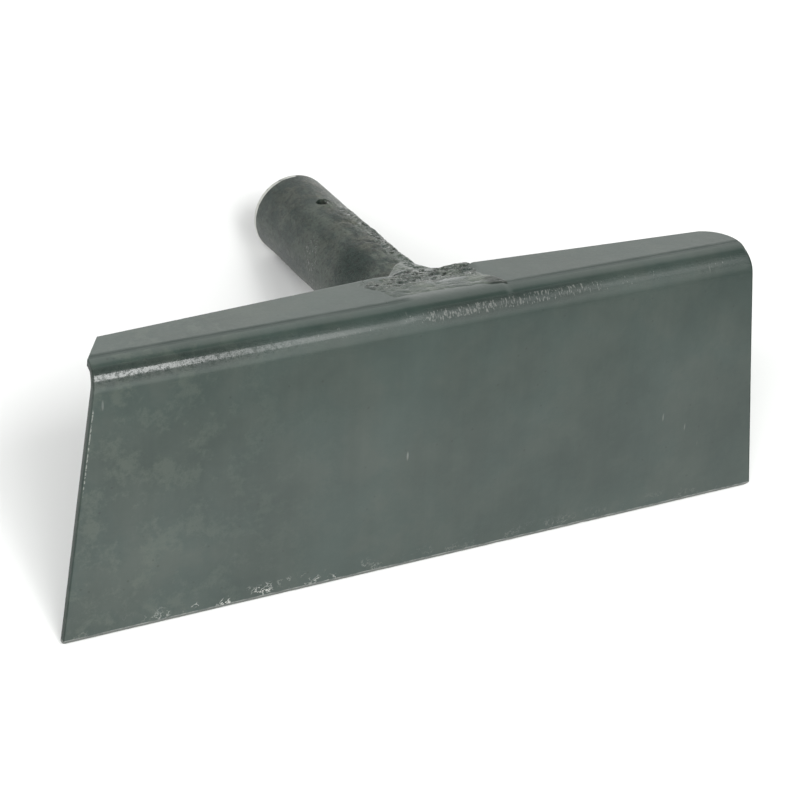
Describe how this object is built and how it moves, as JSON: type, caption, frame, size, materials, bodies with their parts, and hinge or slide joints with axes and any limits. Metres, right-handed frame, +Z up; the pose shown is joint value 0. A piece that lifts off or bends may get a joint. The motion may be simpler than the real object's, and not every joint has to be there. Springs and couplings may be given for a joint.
{
  "type": "floor scraper head",
  "caption": "Floor scraper head: a wide flared steel blade bent from sheet, with a welded round socket for a wooden handle.",
  "frame": {"origin": "middle of the footprint, on the floor that the head rests on, with its cutting edge and the rim of its socket down", "axes": "+X along the cutting edge, to the right seen from the blade's front; +Y from the blade towards the socket's open end; +Z up"},
  "size_m": [0.2994, 0.1702, 0.0937],
  "materials": {
    "lacquered_sheet": "glossy dark green lacquer over mill scale",
    "lacquered_socket": "glossy dark green lacquer over rolled steel",
    "lacquered_weld": "glossy lacquer over rough weld metal"
  },
  "bodies": {
    "root": {"blade_plate": "lacquered_sheet", "handle_socket": "lacquered_socket", "seam_weld": "lacquered_weld", "top_weld": "lacquered_weld", "left_side_weld": "lacquered_weld", "right_side_weld": "lacquered_weld", "heel_weld": "lacquered_weld"}
  },
  "joints": []
}
